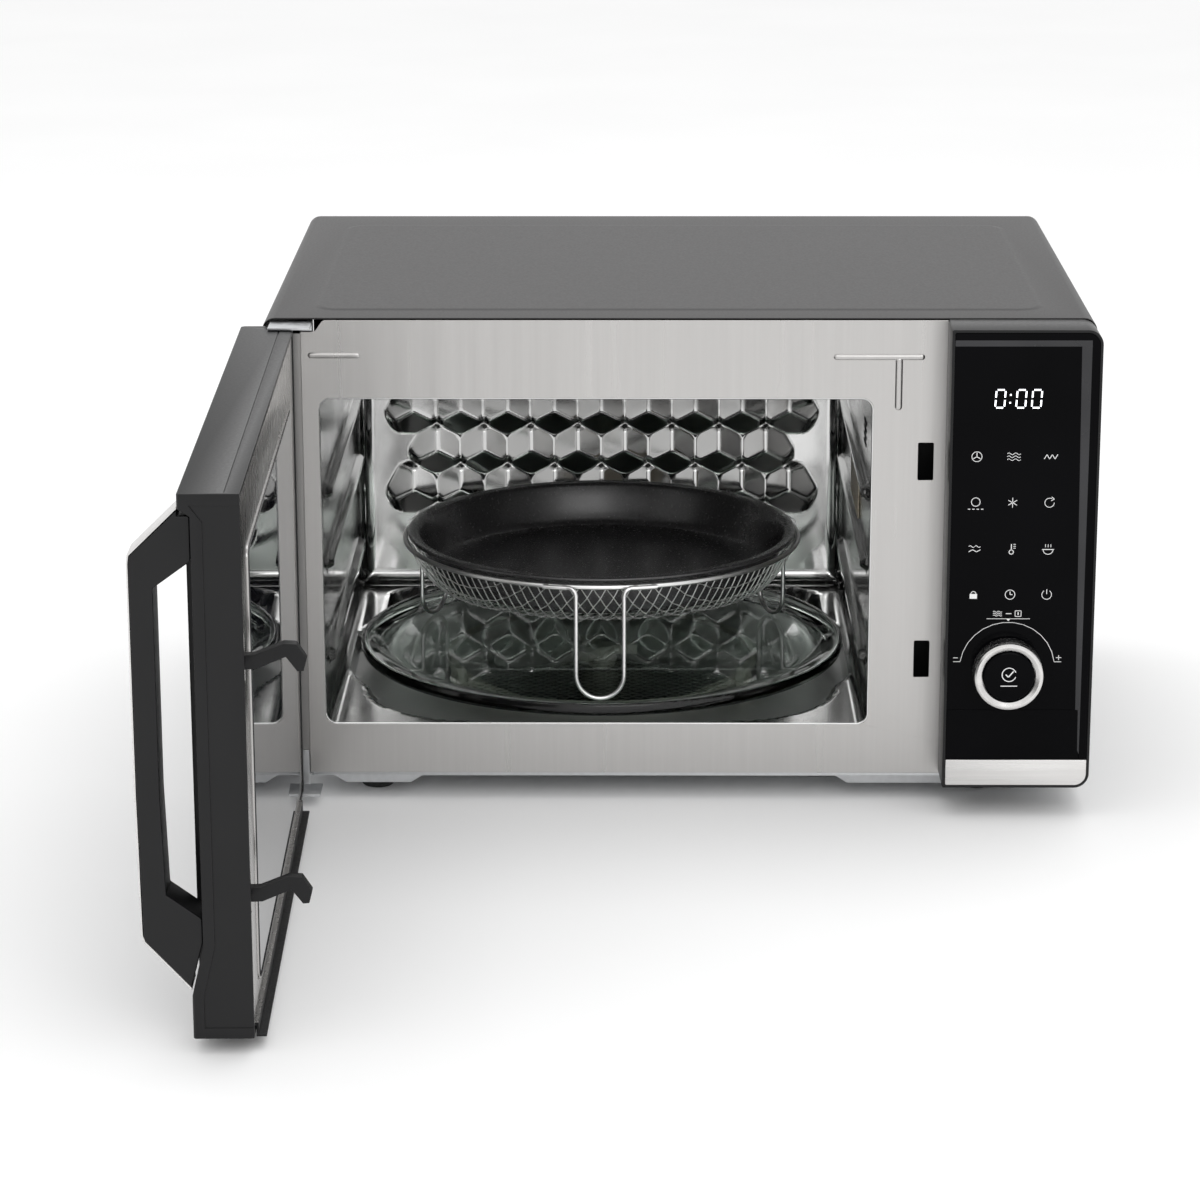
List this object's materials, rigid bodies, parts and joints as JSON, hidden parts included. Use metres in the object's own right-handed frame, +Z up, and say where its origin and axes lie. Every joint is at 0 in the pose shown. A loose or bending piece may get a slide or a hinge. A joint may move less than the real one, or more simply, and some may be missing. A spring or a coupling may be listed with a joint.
{
  "type": "microwave oven",
  "caption": "Countertop microwave oven with its door swung open, a mesh basket and pan on a glass turntable, and a push-and-turn dial.",
  "frame": {"origin": "middle of the footprint on the table, door open", "axes": "+X to the oven's right, +Y to its back, +Z up"},
  "size_m": [0.5306, 0.7592, 0.3036],
  "materials": {
    "cover_coat": "satin dark grey baked coating on steel",
    "front_steel": "fine vertical brushed stainless steel",
    "cavity_steel": "bright drawn stainless steel",
    "zinc_steel": "galvanised steel, dull spangle",
    "black_plastic": "satin black moulded plastic",
    "gloss_black": "polished black panel",
    "silver_trim": "brushed silver trim",
    "clear_glass": "clear glass with a faint green edge",
    "pan_enamel": "dark non-stick coating on steel",
    "chromed_wire": "bright chromed wire",
    "foot_rubber": "moulded black rubber",
    "white_plastic": "heat-proof off-white plastic",
    "copper_windings": "varnished laminations and copper windings",
    "circuit_board": "green circuit board",
    "mica": "pressed mica sheet"
  },
  "bodies": {
    "cabinet": {"outer_cover": "cover_coat", "front_plate": "front_steel", "cavity_liner": "cavity_steel", "cavity_back_wall": "cavity_steel", "ceiling_cover": "cavity_steel", "base_pan": "zinc_steel", "back_panel": "zinc_steel", "hot_air_housing": "zinc_steel", "heater_element": "zinc_steel", "hot_air_motor": "zinc_steel", "turntable_motor": "zinc_steel", "waveguide": "zinc_steel", "magnetron": "zinc_steel", "cooling_fan_motor": "zinc_steel", "dial_encoder": "zinc_steel", "hinge_bracket_top": "zinc_steel", "hinge_bracket_bottom": "zinc_steel", "capacitor": "zinc_steel", "cord_gland": "black_plastic", "fan_shroud": "black_plastic", "latch_board": "black_plastic", "door_switch_lower": "black_plastic", "door_switch_upper": "black_plastic", "control_panel_frame": "black_plastic", "display_module": "black_plastic", "control_glass": "gloss_black", "control_trim_strip": "silver_trim", "oven_lamp": "clear_glass", "foot_front_left": "foot_rubber", "foot_front_right": "foot_rubber", "foot_rear_left": "foot_rubber", "foot_rear_right": "foot_rubber", "transformer": "copper_windings", "control_board": "circuit_board", "waveguide_cover": "mica"},
    "door": {"door_frame": "black_plastic", "door_glass": "gloss_black", "door_inner_frame": "front_steel", "door_screen": "zinc_steel", "door_inner_glass": "clear_glass", "door_handle": "black_plastic", "handle_trim": "silver_trim", "latch_spring": "zinc_steel"},
    "latch": {"latch_bar": "black_plastic"},
    "dial": {"dial_ring": "silver_trim"},
    "dial_push": {"dial_button": "gloss_black"},
    "turntable_drive": {"drive_coupler": "white_plastic"},
    "glass_plate": {"glass_turntable": "clear_glass"},
    "basket": {"fry_basket": "chromed_wire", "basket_leg_1": "chromed_wire", "basket_leg_2": "chromed_wire", "basket_leg_3": "chromed_wire"},
    "pan": {"crisper_pan": "pan_enamel"},
    "rollers": {"roller_ring": "white_plastic"},
    "wheel_1": {"roller_wheel_1": "white_plastic"},
    "wheel_2": {"roller_wheel_2": "white_plastic"},
    "wheel_3": {"roller_wheel_3": "white_plastic"},
    "cooling_rotor": {"cooling_fan": "black_plastic"},
    "hot_air_rotor": {"hot_air_fan": "zinc_steel"}
  },
  "joints": [
    {"name": "door_hinge", "type": "hinge", "parent": "cabinet", "child": "door", "pos_m": [-0.2242, 0.01958, 0.15], "axis": [0, 0, 1], "range_deg": [-11, 88.8]},
    {"name": "latch_lift", "type": "slide", "parent": "door", "child": "latch", "axis": [0, 0, 1], "range_m": [0, 0.004], "stiffness_N_per_m": 300, "springref_m": -0.006, "deforming": ["latch_spring"]},
    {"name": "dial_turn", "type": "hinge", "parent": "cabinet", "child": "dial", "pos_m": [0.2137, 0.00008, 0.093], "axis": [0, -1, 0], "continuous": true},
    {"name": "dial_press", "type": "slide", "parent": "cabinet", "child": "dial_push", "axis": [0, 1, 0], "range_m": [0, 0.0015], "stiffness_N_per_m": 600, "springref_m": -0.002},
    {"name": "turntable_spin", "type": "hinge", "parent": "cabinet", "child": "turntable_drive", "pos_m": [-0.0327, 0.19258, 0.045], "axis": [0, 0, 1], "continuous": true},
    {"name": "glass_lift", "type": "slide", "parent": "turntable_drive", "child": "glass_plate", "axis": [0, 0, 1], "range_m": [0, 0.01]},
    {"name": "basket_lift", "type": "slide", "parent": "glass_plate", "child": "basket", "axis": [0, 0, 1], "range_m": [0, 0.02]},
    {"name": "pan_lift", "type": "slide", "parent": "basket", "child": "pan", "axis": [0, 0, 1], "range_m": [0, 0.03]},
    {"name": "roller_ring_spin", "type": "hinge", "parent": "cabinet", "child": "rollers", "pos_m": [-0.0327, 0.19258, 0.043], "axis": [0, 0, 1], "continuous": true},
    {"name": "wheel_1_roll", "type": "hinge", "parent": "rollers", "child": "wheel_1", "pos_m": [-0.0327, 0.29758, 0.043], "axis": [0, 1, 0], "continuous": true},
    {"name": "wheel_2_roll", "type": "hinge", "parent": "rollers", "child": "wheel_2", "pos_m": [-0.12363, 0.14008, 0.043], "axis": [-0.866, -0.5, 0], "continuous": true},
    {"name": "wheel_3_roll", "type": "hinge", "parent": "rollers", "child": "wheel_3", "pos_m": [0.05824, 0.14008, 0.043], "axis": [0.866, -0.5, 0], "continuous": true},
    {"name": "cooling_fan_spin", "type": "hinge", "parent": "cabinet", "child": "cooling_rotor", "pos_m": [0.2103, 0.36508, 0.15], "axis": [0, 1, 0], "continuous": true},
    {"name": "hot_air_fan_spin", "type": "hinge", "parent": "cabinet", "child": "hot_air_rotor", "pos_m": [-0.0327, 0.19258, 0.266], "axis": [0, 0, 1], "continuous": true}
  ],
  "couplings": [
    {"joint": "roller_ring_spin", "follows": "turntable_spin", "ratio": 0.5},
    {"joint": "wheel_1_roll", "follows": "turntable_spin", "ratio": -9.0603},
    {"joint": "wheel_2_roll", "follows": "turntable_spin", "ratio": -9.0603},
    {"joint": "wheel_3_roll", "follows": "turntable_spin", "ratio": -9.0603}
  ]
}
